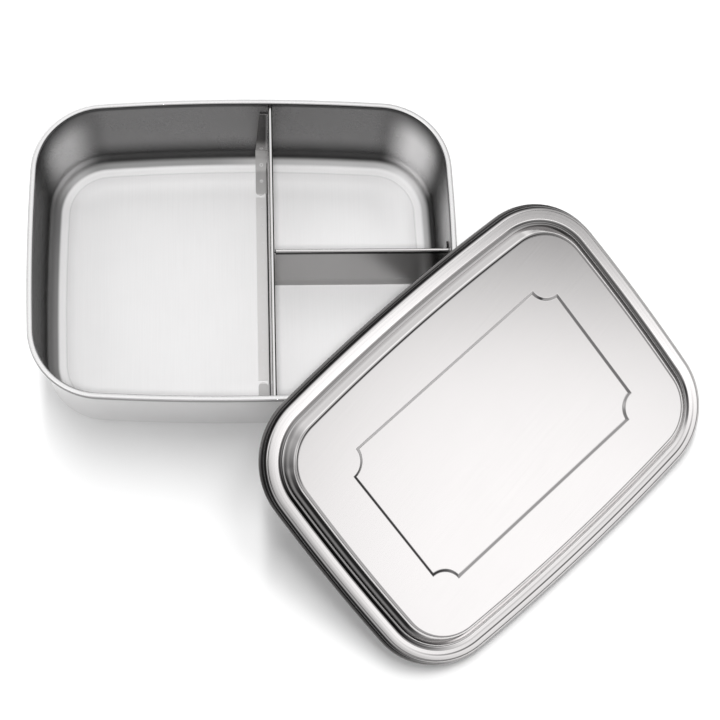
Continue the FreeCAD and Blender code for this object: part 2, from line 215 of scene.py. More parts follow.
def make_piece(name, points, faces, body, slot, *nodes):
    """Object at the origin, with points in mm, that rides on a body and stands for CAD nodes."""
    mesh = bpy.data.meshes.new(name)
    mesh.from_pydata((points * MM).tolist(), [], faces)
    mesh.shade_smooth()
    mesh.set_sharp_from_angle(angle=math.radians(SHARP_DEGREES))
    piece = bpy.data.objects.new(name, mesh)
    bpy.context.scene.collection.objects.link(piece)
    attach(piece, body)
    if nodes:
        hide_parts(*nodes)
    print(name, "vertices", len(mesh.vertices), "faces", len(mesh.polygons))
    return piece


def add_field(piece, name, values):
    """Gives each vertex of the piece a number that a finish can read by its name."""
    field = piece.data.attributes.new(name, "FLOAT", "POINT")
    field.data.foreach_set("value", np.asarray(values, np.float32))


print("edges that turn by more than", SHARP_DEGREES, "degrees stay sharp")

# %% [markdown]
# ## The drawn body
# The body is a tray with tapered walls and a generous floor radius, so that food wipes out, and
# its edge is rolled outwards to a bead. A block could be hollowed out and its edges rounded, but
# then the sheet wouldn't be equally thick. So a section runs from the floor up the inner face,
# round the bead and down the outer face to the base.

# %% The body of the box
BEAD_RADIUS = 1.5
BEAD_MIDDLE = (-1.5, 60.5)
BEAD_POWER = 0.68
FLOOR_RADIUS = 8.5
FLOOR_BEND_STEPS = 20
FLOOR_CORNER_X = -5.407
FLOOR_START_X = -20.0
PUNCH_LINE = np.array([
    (-14.9, 0.0), (-14.65, -0.07), (-14.4, -0.1), (-14.15, -0.07), (-13.9, 0.0)])
MIDDLE_SHARES = np.array([0.25, 0.5, 0.75])
MIDDLE_INSET = 60.0


def body_rings():
    """The inner face is a bent line, the outer face lies a sheet away, and the bead joins both.

    The outer face leaves the bead where the line one sheet inside the bead's edge cuts it. A
    fine line that the punch leaves round the floor is worked into the inner face alone. With each
    ring goes its distance inside the rim line, for the finish."""
    cut = math.degrees(math.acos((1 - SHEET / BEAD_RADIUS) ** (1 / BEAD_POWER)))
    bead = rolled_edge(BEAD_MIDDLE, BEAD_RADIUS, 180, -180 + cut, BEAD_POWER)
    corners = [(FLOOR_START_X, SHEET), (FLOOR_CORNER_X, SHEET), bead[0]]
    inner, right = bent_line(corners, [FLOOR_RADIUS], FLOOR_BEND_STEPS)
    outer = (inner + SHEET * right)[::-1]
    inner = np.concatenate([inner[:1], PUNCH_LINE + (0, SHEET), inner[1:-1]])
    section = np.concatenate([inner, bead, outer[1:]])
    rings = carried(section)
    floor = shrunk(rings[0], MIDDLE_SHARES)
    base = shrunk(rings[-1], MIDDLE_SHARES[::-1])
    middle = np.full(len(MIDDLE_SHARES), MIDDLE_INSET)
    inset = np.concatenate([middle, -section[:, 0], middle])
    return np.concatenate([floor, rings, base]), inset, len(floor) + len(inner)


shell_rings, shell_inset, inside_rings = body_rings()
box = make_piece("box", *closed_shell(shell_rings), "box", "satin_steel", "box_body")
add_field(box, "inset", np.append(np.repeat(shell_inset, len(rim)), [MIDDLE_INSET, MIDDLE_INSET]))

# %% [markdown]
# ## The lid
# The lid is pressed from the same sheet: a skirt with a rolled lip, a flat ring over the rim, a
# narrow valley, and a dome with a wide panel. A rectangle with hollow corners is pressed into the
# panel. It could be cut in with a Boolean, but that leaves knife edges. So the rectangle's edge
# is a section of its own, carried along rings that step inwards, and its bends are as soft as the
# dome's.

# %% The pressed rectangle
PANEL_TOP = 13.0
FIELD_HALF = (70.0, 42.0)
FIELD_SCALLOP = 9.6
FIELD_DEPTH = 0.8
FIELD_STEP = [(1.0, 0.0), (0.0, 0.0), (-1.3, -FIELD_DEPTH), (-2.4, -FIELD_DEPTH)]
FIELD_BEND = 0.7
FIELD_BEND_STEPS = 8
PANEL_WAY = 30.0
FIELD_WAY = 40.0


def field_rings(outside):
    """Outlines (T, N, 2) of the pressed rectangle, each moved outwards by its value of outside.

    Its sides move out with it, and a hollow corner is a circle about the corner of the unmoved
    rectangle, whose radius shrinks. A side ends where it meets that circle."""
    out = np.asarray(outside)[:, None]
    half_x = FIELD_HALF[0] + out
    half_y = FIELD_HALF[1] + out
    radius = FIELD_SCALLOP - out
    cut = np.sqrt(radius ** 2 - out ** 2)
    end_y = FIELD_HALF[1] - cut
    end_x = FIELD_HALF[0] - cut
    side = np.linspace(0, 1, SHORT_STEPS + 1)[:-1]
    back = np.linspace(1, 0, LONG_STEPS + 1)
    first = np.arctan2(-cut, out)
    last = np.arctan2(out, -cut) - 2 * math.pi * (out > 0)
    angle = first + (last - first) * np.linspace(0, 1, CORNER_STEPS + 1)[:-1]
    x = np.concatenate([
        half_x + 0 * side,
        FIELD_HALF[0] + radius * np.cos(angle),
        end_x * back,
    ], axis=1)
    y = np.concatenate([
        end_y * side,
        FIELD_HALF[1] + radius * np.sin(angle),
        half_y + 0 * back,
    ], axis=1)
    return four_quarters(np.stack([x, y], axis=2))


def field_side(under):
    """Rings of the pressed rectangle, under mm below the top face, from the panel to the middle.

    With each ring goes a number for the finish, from PANEL_WAY at the top to FIELD_WAY below."""
    line, right = bent_line(FIELD_STEP, [FIELD_BEND, FIELD_BEND], FIELD_BEND_STEPS)
    way = np.interp(line[:, 1], [-FIELD_DEPTH, 0], [FIELD_WAY, PANEL_WAY])
    line = line - under * right
    rings = raised(field_rings(line[:, 0]), PANEL_TOP + line[:, 1])
    middle = shrunk(rings[-1], MIDDLE_SHARES[::-1])
    return np.concatenate([rings, middle]), np.append(way, np.full(len(middle), FIELD_WAY))


print("rings of the pressed rectangle", len(field_side(0)[0]))

# %% [markdown]
# The rest of the lid is one section, as on the body. Under the lid it runs from the panel to the
# lip, and over the top it comes back. The finish of the lid changes from bend to bend, so each
# ring also keeps how far up the top face it lies.

# %% The section of the lid
LIP_RADIUS = 1.0
LIP_X = 1.35
LID_INNER = [(0.35, 1.0), (0.35, 6.2), (-5.65, 6.2), (-8.25, 5.3), (-13.22, 12.4), (-17.0, 12.4)]
LID_RADII = [1.6, 0.9, 2.2, 1.6]
UNDER_WAY = -4.0


def lid_rings():
    """Under side from the middle to the lip, round the lip, and back over the top to the middle.

    With each ring goes its way up the top face in mm, counted from the lip, for the finish. It is
    0 on the lip and below 0 under the lid."""
    inner, right = bent_line(LID_INNER, LID_RADII)
    cut = math.degrees(math.acos((LIP_RADIUS - SHEET) / LIP_RADIUS))
    lip = rolled_edge((LIP_X, LIP_RADIUS), LIP_RADIUS, 180, 540 - cut)
    outer = inner + SHEET * right
    section = np.concatenate([inner[::-1], lip[1:], outer[1:]])
    under = field_side(SHEET)[0][::-1]
    over, over_way = field_side(0)
    steps = np.linalg.norm(np.diff(outer, axis=0), axis=1)
    below = np.full(len(under) + len(inner), UNDER_WAY)
    way = np.concatenate([below, np.zeros(len(lip) - 1), np.cumsum(steps), over_way])
    return np.concatenate([under, carried(section), over]), way


lid_shape, lid_way = lid_rings()
print("rings of the lid", len(lid_shape), "and its height", np.ptp(lid_shape[..., 2]).round(2))

# %% [markdown]
# The lid leans: it is turned about the upright, tilted about its own long axis, and moved so that
# one long edge stands on the table while the panel rests on the rim. The object could be turned
# instead, but the export puts every object at the origin, so the place is worked into the mesh.

# %% The lid in its place
LID_YAW = 41.5
LID_LEAN = 23.97342
LID_AT = np.array([120.36017, -89.99549, 33.34297])
yaw = Matrix.Rotation(math.radians(LID_YAW), 3, "Z")
lean = Matrix.Rotation(math.radians(LID_LEAN), 3, "X")
lid_turn = np.array(yaw @ lean)
lid_points, lid_faces = closed_shell(lid_shape)
lid_points = lid_points @ lid_turn.T + LID_AT
lid = make_piece("lid_shell", lid_points, lid_faces, "lid", "polished_steel", "lid")
add_field(lid, "way", np.append(np.repeat(lid_way, len(rim)), [UNDER_WAY, FIELD_WAY]))
for field, part in zip(("side_x", "side_y"), rim_outward.T):
    add_field(lid, field, np.append(np.tile(part, len(lid_way)), [0.0, 0.0]))

# %% [markdown]
# ## Spot welds
# A spot weld leaves a shallow round dish with a raised rim. It could be a bump in the finish, but
# then it would vanish from the mesh, so each one is a small profile turned about its own axis.
# The places are read from the weld nodes of the frame: their vertices lie in clumps, and a clump
# starts where the next vertex along the row is far from the last.

# %% The spot welds
SPOT_STEPS = 24
SPOT_GAP = 4.0
SPOT_PROFILE = np.array([
    (0.25, -0.08), (0.45, -0.06), (0.6, -0.02), (0.7, 0.01), (0.8, 0.03),
    (0.88, 0.03), (0.95, 0.02), (1.0, 0.0), (0.8, -0.05), (0.8, -0.55),
])


def spot_places(node, axis):
    """Middle of each clump of the node's vertices along an axis, at the flange's top, in mm."""
    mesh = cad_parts[node].data
    flat = np.zeros(len(mesh.vertices) * 3)
    mesh.vertices.foreach_get("co", flat)
    points = flat.reshape(-1, 3) / MM
    points = points[np.argsort(points[:, axis])]
    clumps = np.split(points, np.flatnonzero(np.diff(points[:, axis]) > SPOT_GAP) + 1)
    middle = np.array([(c.min(axis=0) + c.max(axis=0)) / 2 for c in clumps])
    middle[:, 2] = 2 * SHEET
    return middle


def one_dish():
    """A level dish at the origin: (r cos a, r sin a, h) along its profile, closed at both poles."""
    angle = np.linspace(0, 2 * math.pi, SPOT_STEPS + 1)[:-1]
    turn = np.stack([np.cos(angle), np.sin(angle)], axis=1)
    return closed_shell(raised(SPOT_PROFILE[:, :1, None] * turn, SPOT_PROFILE[:, 1]))


def as_one_mesh(copies, faces):
    """Points and faces of all copies (M, V, 3) of a shape, whose faces are numbered on."""
    count, each = copies.shape[:2]
    all_faces = [[i + k * each for i in face] for k in range(count) for face in faces]
    return copies.reshape(-1, 3), all_faces


def row_of_spots(node, axis):
    """A dish at each place of a weld node's row."""
    points, faces = one_dish()
    return as_one_mesh(spot_places(node, axis)[:, None] + points, faces)


main_spots = make_piece(
    "main_spots", *row_of_spots("main_divider_spot_welds", 1),
    "box", "weld_steel", "main_divider_spot_welds")
cross_spots = make_piece(
    "cross_spots", *row_of_spots("cross_divider_spot_welds", 0),
    "box", "weld_steel", "cross_divider_spot_welds")

# %% [markdown]
# The tab at each end of the main divider is welded to the bend and to the wall as well. A ray
# from the middle of the bend finds the place on the tab, and the dish is turned to stand square
# on it. The places could be typed in, but a ray always ends on the sheet.

# %% The spot welds of the tabs
TAB_SPOT_X = 10.35
TAB_RAYS = [((66.9, 9.1), (0.373, -0.928)), ((66.9, 13.1), (1.0, -0.04))]
TAB_SPOT_LIFT = 0.05


def tab_dishes():
    """Each dish is turned so that its Z axis is the sheet's normal, and moved to its ray's end."""
    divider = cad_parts["main_divider"]
    sheet = BVHTree.FromObject(divider, bpy.context.evaluated_depsgraph_get())
    points, faces = one_dish()
    placed = []
    for wall in (1, -1):
        for (y, z), (ahead, up) in TAB_RAYS:
            start = Vector((TAB_SPOT_X, wall * y, z)) * MM
            hit, normal, _, _ = sheet.ray_cast(start, Vector((0, wall * ahead, up)))
            turn = np.array(normal.to_track_quat("Z", "X").to_matrix())
            placed.append((points + (0, 0, TAB_SPOT_LIFT)) @ turn.T + np.array(hit) / MM)
    return as_one_mesh(np.array(placed), faces)


tab_spots = make_piece("tab_spots", *tab_dishes(), "box", "weld_steel")

# %% [markdown]
# ## Writing shader nodes as sums
# A finish is a small sum of noises. Written as nodes it is hard to read, so a wire between nodes
# is wrapped here in a class that knows plus, minus, times and divided by. Every other node comes
# from one method, which takes the node's type, its settings and the values of its sockets.

# %% Wires and trees


class Wire:
    """An output socket that takes part in Python arithmetic, each step a Math node."""

    def __init__(self, tree, socket):
        self.tree = tree
        self.socket = socket

    def math(self, operation, a, b):
        """The Math node of an operation on two wires or numbers."""
        return self.tree.node("ShaderNodeMath", {"operation": operation}, {0: a, 1: b})

    def __add__(self, other):
        return self.math("ADD", self, other)

    def __sub__(self, other):
        return self.math("SUBTRACT", self, other)

    def __mul__(self, other):
        return self.math("MULTIPLY", self, other)

    def __truediv__(self, other):
        return self.math("DIVIDE", self, other)

    def __rsub__(self, other):
        return self.math("SUBTRACT", other, self)

    def __rtruediv__(self, other):
        return self.math("DIVIDE", other, self)

    __radd__ = __add__
    __rmul__ = __mul__

    def size(self):
        """The value without its sign."""
        return self.math("ABSOLUTE", self, 0.0)

    def clip(self):
        """The value kept from 0 to 1."""
        return self.tree.node("ShaderNodeClamp", {}, {"Value": self})

    def rise(self, start, end):
        """A smooth step from 0 at start to 1 at end, and falling where end is the smaller one."""
        step = self.tree.node("ShaderNodeMapRange", {"interpolation_type": "SMOOTHSTEP"}, {
            "Value": self, "From Min": min(start, end), "From Max": max(start, end)})
        return step if start < end else 1 - step


class Tree:
    """The node tree of a finish or of the room."""

    def __init__(self, owner):
        owner.use_nodes = True
        self.tree = owner.node_tree
        self.tree.nodes.clear()

    def node(self, kind, settings, inputs, output=0):
        """Adds a node, sets it up, fills its sockets with values or wires, and gives an output."""
        made = self.tree.nodes.new(kind)
        for key, value in settings.items():
            setattr(made, key, value)
        for key, value in inputs.items():
            if isinstance(value, Wire):
                self.tree.links.new(value.socket, made.inputs[key])
            else:
                made.inputs[key].default_value = value
        return Wire(self, made.outputs[output]) if made.outputs else made


def mixed(a, b, share):
    """From a to b by a share that goes from 0 to 1."""
    return a + (b - a) * share


print("halfway from 2 to 4 is", mixed(2, 4, 0.5), "for numbers, and the same sum works on wires")

# %% [markdown]
# ## Steel finishes
# Polished sheet is never quite even: it carries fine lines from the belt and soft clouds where
# hands and cloths have been. Both only change the gloss a little, so they feed roughness, with a
# trace of them in the colour. A flat colour would look like plastic, and a picture of brushed
# steel would repeat, so both are noises on the object's own coordinates.

# %% What all the finishes share
BELT_DETAIL = 2.0
CLOUD_DETAIL = 4.0
CLOUD_STRETCH = (38, 38, 38)
GRAIN_TONE = 0.06
GRAIN_GLOSS = 0.05
GRAIN_BUMP = 0.02
GRAIN_HEIGHT = 0.0001
STEEL_TINT = (1.0, 0.993, 0.995)


class Steel(Tree):
    """A steel finish with belt lines, clouds and the place on the object, x, y and z in mm."""

    def __init__(self, name, lines, turn=0.0):
        self.material = bpy.data.materials.new(name)
        super().__init__(self.material)
        place = self.node("ShaderNodeTexCoord", {}, {}, "Object")
        turned = self.node("ShaderNodeMapping", {}, {
            "Vector": place, "Rotation": (0, 0, math.radians(turn))})
        self.belt = self.noise(turned, lines, BELT_DETAIL)
        self.cloud = self.noise(turned, CLOUD_STRETCH, CLOUD_DETAIL)
        self.x, self.y, self.z = (
            self.node("ShaderNodeSeparateXYZ", {}, {"Vector": place}, i) / MM for i in range(3))

    def field(self, name):
        """The number that a piece keeps at each vertex under this name."""
        return self.node("ShaderNodeAttribute", {"attribute_name": name}, {}, "Fac")

    def noise(self, place, stretch, detail):
        """Noise about 0, from -0.5 to 0.5, stretched per metre along each axis."""
        scaled = self.node("ShaderNodeMapping", {}, {"Vector": place, "Scale": stretch})
        return self.node("ShaderNodeTexNoise", {}, {
            "Vector": scaled, "Scale": 1.0, "Detail": detail}) - 0.5

    def finish(self, tone, gloss, metal=1.0, uneven=GRAIN_GLOSS, tint=STEEL_TINT, edge=1.0):
        """Colour = tone * (1 + lines + clouds) * tint, and roughness = gloss + lines + clouds.

        An edge below 1 takes away some of the shine at a flat angle, as on satin steel."""
        grey = tone * (1 + self.belt * GRAIN_TONE + self.cloud * GRAIN_TONE)
        colour = self.node("ShaderNodeCombineColor", {}, {i: grey * tint[i] for i in range(3)})
        rough = gloss + self.belt * uneven + self.cloud * uneven
        bump = self.node("ShaderNodeBump", {}, {
            "Height": self.belt, "Strength": GRAIN_BUMP, "Distance": GRAIN_HEIGHT})
        shader = self.node("ShaderNodeBsdfPrincipled", {}, {
            "Base Color": colour, "Roughness": rough.clip(), "Metallic": metal, "Normal": bump,
            "Specular Tint": (edge, edge, edge, 1)})
        self.node("ShaderNodeOutputMaterial", {}, {"Surface": shader})
        print(self.material.name, "nodes", len(self.tree.nodes))
        return self.material


print("grain changes the tone by", GRAIN_TONE, "and the gloss by", GRAIN_GLOSS, "at most")

# %% [markdown]
# The inner walls get painted shade: dark all over, darker at the foot of the long walls, above the
# foot of the left wall and by the bead. The right wall gets painted light near its top towards the
# front, and the four corners get a painted highlight, brightest on the right. This could be painted
# by hand as a picture, but a finish that asks where a place lies needs no file and shows no seam.
# Pairs of numbers say where, in mm, a change begins and ends.

# %% The inner walls
CORNER_REACH = 24.0
RIGHT_HALF = (-20, 20)
# Painted shade as tones at the foot and at the top of the long walls and the left wall. The right
# wall goes from its dark tone to painted light near its top towards the front.
LONG_WALL_PAINTED_SHADE = (0.09, 0.245)
LONG_WALL_RISE = (6, 26)
LEFT_WALL_PAINTED_SHADE = (0.24, 0.05)
LEFT_WALL_RISE = (5, 16)
RIGHT_WALL_PAINTED_LIGHT = (0.07, 0.95)
RIGHT_WALL_RISE = (14, 58)
RIGHT_WALL_FRONT = (48, 16)
# Painted shade at the top of the inner walls, by the bead.
UNDER_BEAD_SHADE = 0.3
UNDER_BEAD = (60.4, 58)
# Painted highlight in the four corners, left and right, with where it spreads and how high it
# reaches.
CORNER_PAINTED_HIGHLIGHT = (0.6, 0.95)
CORNER_HIGHLIGHT_SPREAD = (0.2, 0.9)
CORNER_HIGHLIGHT_HEIGHT = (64, 36)


def past_corner(along, centre):
    """0 between the centres of the corners, rising to 1 at CORNER_REACH past them."""
    return ((along.size() - centre) / CORNER_REACH).clip()


def wall_tone(steel, right):
    """Painted shade on the long, left and right wall from foot to top, and painted highlights in
    the corners.

    A wall is told by how far its place lies past the centres of the corners."""
    past_x = past_corner(steel.x, CORNER_X)
    past_y = past_corner(steel.y, CORNER_Y)
    long_wall = mixed(*LONG_WALL_PAINTED_SHADE, steel.z.rise(*LONG_WALL_RISE))
    left_wall = mixed(*LEFT_WALL_PAINTED_SHADE, steel.z.rise(*LEFT_WALL_RISE))
    lit = steel.z.rise(*RIGHT_WALL_RISE) * steel.y.rise(*RIGHT_WALL_FRONT)
    short_wall = mixed(left_wall, mixed(*RIGHT_WALL_PAINTED_LIGHT, lit), right)
    shade = mixed(UNDER_BEAD_SHADE, 1.0, steel.z.rise(*UNDER_BEAD))
    wall = mixed(long_wall, short_wall, past_x) * shade
    corner = (past_x * past_y).rise(*CORNER_HIGHLIGHT_SPREAD) * steel.z.rise(*CORNER_HIGHLIGHT_HEIGHT)
    return mixed(wall, mixed(*CORNER_PAINTED_HIGHLIGHT, right), corner)


print("wall tones, foot and top: long", LONG_WALL_PAINTED_SHADE, "left", LEFT_WALL_PAINTED_SHADE, "right", RIGHT_WALL_PAINTED_LIGHT)

# %% [markdown]
# The flat floor is blasted: it scatters light and looks pale and even. Its own tone is a little
# grey in the middle, and painted light makes it paler towards the walls, most on the right, along
# the back and in the front right compartment, where walls and lid would shade it. It could be a
# piece of its own, but the sheet runs on without a seam, so the finish changes with the height: the
# bend takes on more and more of the floor's tone, as painted light. A line of painted shade darkens
# the small groove where the punch sat.

# %% The floor, and the inside as a whole
LINES_ALONG_Y = (1500, 30, 1500)
# Floor tones: painted light at the edge, most on the right half, along the back and in the front
# right compartment, and the floor's own grey in the middle.
FLOOR_PALEST_PAINTED_LIGHT = 0.97
FLOOR_EDGE_PAINTED_LIGHT = 0.85
FLOOR_GREY = 0.82
FLOOR_MIDDLE = (14, 45)
FRONT_RIGHT_X = (10, 20)
FRONT_RIGHT_Y = (70, 0)
BACK_STRIP = (58, 45)
# Painted shade along the punch line's groove, which is also cut into the mesh.
PUNCH_START = (13.7, 14.2)
PUNCH_END = (15.0, 14.5)
PUNCH_SHADE = 0.16
# Share of the floor's tone on the bend as painted light, left and right, and less at the left end.
BEND_PAINTED_LIGHT_SHARE = (0.45, 0.7)
LEFT_BEND_LESS = 0.6
BEND_HEIGHT = (4.6, 2.2)
FOOT_HEIGHT = (1.6, 0.9)
FLAT_HEIGHT = (0.66, 0.61)
FLOOR_METAL = 0.2
BEND_DULL = 0.8
WALL_GLOSS = 0.28
FLOOR_GLOSS = 0.42
GLOSS_HEIGHT = (10, 7)
INSIDE_EDGE = 0.5


def floor_tone(steel, right):
    """Grey in the middle, painted light towards the bend, the back and the right, painted shade on
    the punch line.
    """
    inset = steel.field("inset")
    front_right = steel.x.rise(*FRONT_RIGHT_X) * steel.y.rise(*FRONT_RIGHT_Y)
    middle = inset.rise(*FLOOR_MIDDLE) * (1 - front_right)
    pale = 1 - (1 - right) * steel.y.rise(*BACK_STRIP)
    line = inset.rise(*PUNCH_START) * inset.rise(*PUNCH_END)
    tone = mixed(mixed(FLOOR_EDGE_PAINTED_LIGHT, FLOOR_PALEST_PAINTED_LIGHT, pale), FLOOR_GREY, middle)
    return tone * (1 - PUNCH_SHADE * line)


def inside_finish():
    """From the wall's tone to the floor's by height, first by a share as painted light on the bend,
    then wholly.
    """
    steel = Steel("inside_steel", LINES_ALONG_Y)
    right = steel.x.rise(*RIGHT_HALF)
    left_end = past_corner(steel.x, CORNER_X) * (1 - right)
    share = mixed(*BEND_PAINTED_LIGHT_SHARE, right) * (1 - LEFT_BEND_LESS * left_end)
    foot = mixed(steel.z.rise(*BEND_HEIGHT) * share, 1.0, steel.z.rise(*FOOT_HEIGHT))
    tone = mixed(wall_tone(steel, right), floor_tone(steel, right), foot)
    dull = mixed(foot * BEND_DULL, 1.0, steel.z.rise(*FLAT_HEIGHT))
    gloss = mixed(WALL_GLOSS, FLOOR_GLOSS, steel.z.rise(*GLOSS_HEIGHT))
    return steel.finish(tone, gloss, mixed(1.0, FLOOR_METAL, dull), edge=INSIDE_EDGE)


inside_steel = inside_finish()

# %% [markdown]
# The outside is belt polished, with level lines. The top of the rolled rim carries a painted
# highlight, and a line of painted shade runs along its outer and its inner side. The rim could have
# a finish of its own, but then a hard border would show, so the tones fade into each other. A weld
# is burnt dull and grainy.

# %% The outside, the rim and the welds
LINES_LEVEL = (30, 30, 1500)
WELD_GRAINS = (900, 900, 900)
OUTSIDE_TONE = 0.7
OUTSIDE_GLOSS = 0.2
OUTSIDE_METAL = 0.8
# Painted highlight on the rim, and lines of painted shade along its outer and inner side.
RIM_PAINTED_HIGHLIGHT = 0.85
RIM_FOOT = (60, 61)
OUTER_LINE_PAINTED_SHADE = 0.22
OUTER_LINE_INSET = (0.85, 0.5)
OUTER_LINE_TOP = (61.9, 61.5)
OUTER_LINE_FOOT = (58.8, 59.2)
INNER_LINE_PAINTED_SHADE = 0.05
INNER_LINE_INSET = (2.45, 2.8)
INNER_LINE_FOOT = (59, 60)


def outside_finish():
    """Even below, with a painted highlight on the rim and painted shade along its outer and inner
    side.
    """
    steel = Steel("outside_steel", LINES_LEVEL)
    inset = steel.field("inset")
    outer = steel.z.rise(*OUTER_LINE_TOP) * steel.z.rise(*OUTER_LINE_FOOT)
    outer = outer * inset.rise(*OUTER_LINE_INSET)
    inner = inset.rise(*INNER_LINE_INSET) * steel.z.rise(*INNER_LINE_FOOT)
    tone = mixed(OUTSIDE_TONE, RIM_PAINTED_HIGHLIGHT, steel.z.rise(*RIM_FOOT))
    tone = mixed(mixed(tone, OUTER_LINE_PAINTED_SHADE, outer), INNER_LINE_PAINTED_SHADE, inner)
    return steel.finish(tone, OUTSIDE_GLOSS, OUTSIDE_METAL)


outside_steel = outside_finish()
weld_steel = Steel("weld_steel", WELD_GRAINS).finish(tone=0.75, gloss=0.4, metal=0.5, uneven=0.1)

# %% [markdown]
# The dividers are cut from satin sheet, and the flange on the floor is as pale as the floor. The
# folded hem along the top carries a painted highlight, with painted shade on the sides of the main
# divider's hem, just under the hem and in the bend at the main divider's foot. The upright part
# gets painted light, paler on the main divider than on the cross one, and the tab at the wall gets
# painted shade higher up and the hem's painted highlight at its top end. Both come from the
# imported model as whole pieces, so instead of one finish for each part there is one that tells the
# parts by their place.

# %% The dividers
CROSS_X = (15.5, 16.5)
CROSS_DROP = 5.0
# Painted light on the upright sheet, for the main and the cross divider.
WEB_PAINTED_LIGHT = (0.9, 0.42)
FLANGE_TONE = 0.74
FLANGE_TOP = (1.5, 1.25)
FLANGE_DULL = 0.5
# Painted shade in the bend at the foot and just under the hem.
FOLD_PAINTED_SHADE = 0.03
FOLD_TOP = (3.2, 2.2)
UNDER_HEM = (55.6, 56.0)
# Painted highlight on the top of the hem, and painted shade on its sides.
HEM_PAINTED_HIGHLIGHT = 0.96
HEM_SIDE_PAINTED_SHADE = 0.06
HEM_FOOT = (58.2, 58.7)
HEM_MIDDLE_X = 14.4
HEM_CORE = (0.65, 0.4)
HEM_GLOSS_LESS = 0.12
TAB_X = (13.3, 12.9)
TAB_Y = (53.1, 53.4)
# Painted light at the foot of the tab and painted shade higher up; its top end takes the hem's
# highlight.
TAB_PAINTED_LIGHT = (0.58, 0.12)
TAB_RISE = (12, 24)
TAB_END = (51.8, 51.95)
TAB_DULL = 0.4
TAB_DULL_TOP = (14, 8)
DIVIDER_GLOSS = (0.42, 0.24)
DIVIDER_GLOSS_RISE = (6, 12)
DIVIDER_TINT = (1.0, 0.986, 0.98)
DIVIDER_EDGE = 0.7


def divider_finish():
    """The flange, the tab at a wall, the upright sheet and the hem are told apart by their place.

    The bend at the foot, the strip under the hem and the sides of the hem get painted shade, and
    the top of the hem a painted highlight."""
    steel = Steel("divider_steel", LINES_LEVEL)
    cross = steel.x.rise(*CROSS_X)
    tab = steel.x.rise(*TAB_X) * steel.y.size().rise(*TAB_Y)
    flange = steel.z.rise(*FLANGE_TOP) * (1 - tab)
    height = steel.z + CROSS_DROP * cross
    foot = steel.z.rise(*FOLD_TOP) * (1 - cross) * (1 - tab)
    fold = (foot + height.rise(*UNDER_HEM)).clip()
    tab_tone = mixed(*TAB_PAINTED_LIGHT, steel.z.rise(*TAB_RISE))
    tab_tone = mixed(tab_tone, HEM_PAINTED_HIGHLIGHT, steel.z.rise(*TAB_END))
    upright = mixed(mixed(*WEB_PAINTED_LIGHT, cross), tab_tone, tab)
    hem = height.rise(*HEM_FOOT)
    core = ((steel.x - HEM_MIDDLE_X).size().rise(*HEM_CORE) + cross).clip()
    hem_tone = mixed(HEM_SIDE_PAINTED_SHADE, HEM_PAINTED_HIGHLIGHT, core)
    tone = mixed(mixed(upright, FOLD_PAINTED_SHADE, fold), hem_tone, hem)
    tone = mixed(tone, FLANGE_TONE, flange)
    metal = 1 - FLANGE_DULL * flange - TAB_DULL * tab * steel.z.rise(*TAB_DULL_TOP)
    gloss = mixed(*DIVIDER_GLOSS, steel.z.rise(*DIVIDER_GLOSS_RISE)) - HEM_GLOSS_LESS * hem
    return steel.finish(tone, gloss, metal, tint=DIVIDER_TINT, edge=DIVIDER_EDGE)


divider_steel = divider_finish()

# %% [markdown]
# The lid is polished, and its bends carry painted reflections: bands of painted shade on the
# skirt, into the valley and on the dome's slope, mostly at the back and on the left, and bands of
# painted highlight on the ring. Under the lid the sheet is left satin. Rings of different finishes
# would show hard borders, so one finish reads how far up the section a place lies and which side of
# the lid it is on.

# %% The finish of the lid
LID_LINES = (1800, 40, 40)
PANEL_TONE = 0.65
UNDER_TONE = 0.42
UNDER_START = (-1, -3)
LID_GLOSS = (0.1, 0.3)
LID_UNEVEN = 0.03
LID_TINT = (1.012, 0.986, 0.984)
# Painted reflection bands: where a band starts, is full, fades and ends, and its tone at the back,
# left, front and right.
LID_PAINTED_REFLECTIONS = [
    ((-0.8, -0.4, 0.8, 1.8), (0.18, 0.12, 0.4, 0.05)),     # the lip
    ((1.8, 3.4, 5.3, 6.2), (0.01, 0.01, 0.35, 0.12)),      # the skirt and the bend above it
    ((6.2, 6.8, 7.4, 10.6), (0.94, 0.36, 0.5, 0.9)),       # the outer half of the ring
    ((7.4, 10.6, 11.2, 11.8), (0.97, 0.66, 0.52, 0.9)),    # the inner half of the ring
    ((8.8, 9.1, 9.6, 9.9), (0.95, 0.55, 0.1, 0.9)),        # a fine line between the halves
    ((11.8, 12.3, 13.6, 14.2), (0.3, 0.006, 0.85, 0.16)),  # the way down into the valley
    ((14.2, 15.0, 15.6, 18.6), (0.34, 0.008, 0.9, 0.5)),   # the foot of the dome
    ((15.6, 18.6, 20.2, 21.0), (0.46, 0.01, 0.9, 0.3)),    # the slope of the dome
    ((21.8, 22.2, 22.6, 23.0), (0.02, 0.7, 0.75, 0.5)),    # a fine line at the panel's edge
    ((30.3, 31.5, 38.0, 39.7), (0.4, 0.04, 0.35, 0.3)),    # the side of the pressed rectangle
]


def lid_finish():
    """The tone goes to each band's painted reflection inside the band, with a soft start and end.

    A band has one value for the back, left, front and right side. Their weights are the squares of
    the parts of the outward direction, so they add up to 1 all the way round."""
    steel = Steel("lid_steel", LID_LINES, LID_YAW)
    way, side_x, side_y = (steel.field(name) for name in ("way", "side_x", "side_y"))
    sides = [side.clip() * side.clip() for side in (side_y, 0 - side_x, 0 - side_y, side_x)]
    below = way.rise(*UNDER_START)
    tone = mixed(PANEL_TONE, UNDER_TONE, below)
    for (start, full, fade, end), values in LID_PAINTED_REFLECTIONS:
        value = sum(weight * part for weight, part in zip(sides, values))
        tone = mixed(tone, value, way.rise(start, full) * way.rise(end, fade))
    return steel.finish(tone, mixed(*LID_GLOSS, below), uneven=LID_UNEVEN, tint=LID_TINT)


lid_steel = lid_finish()

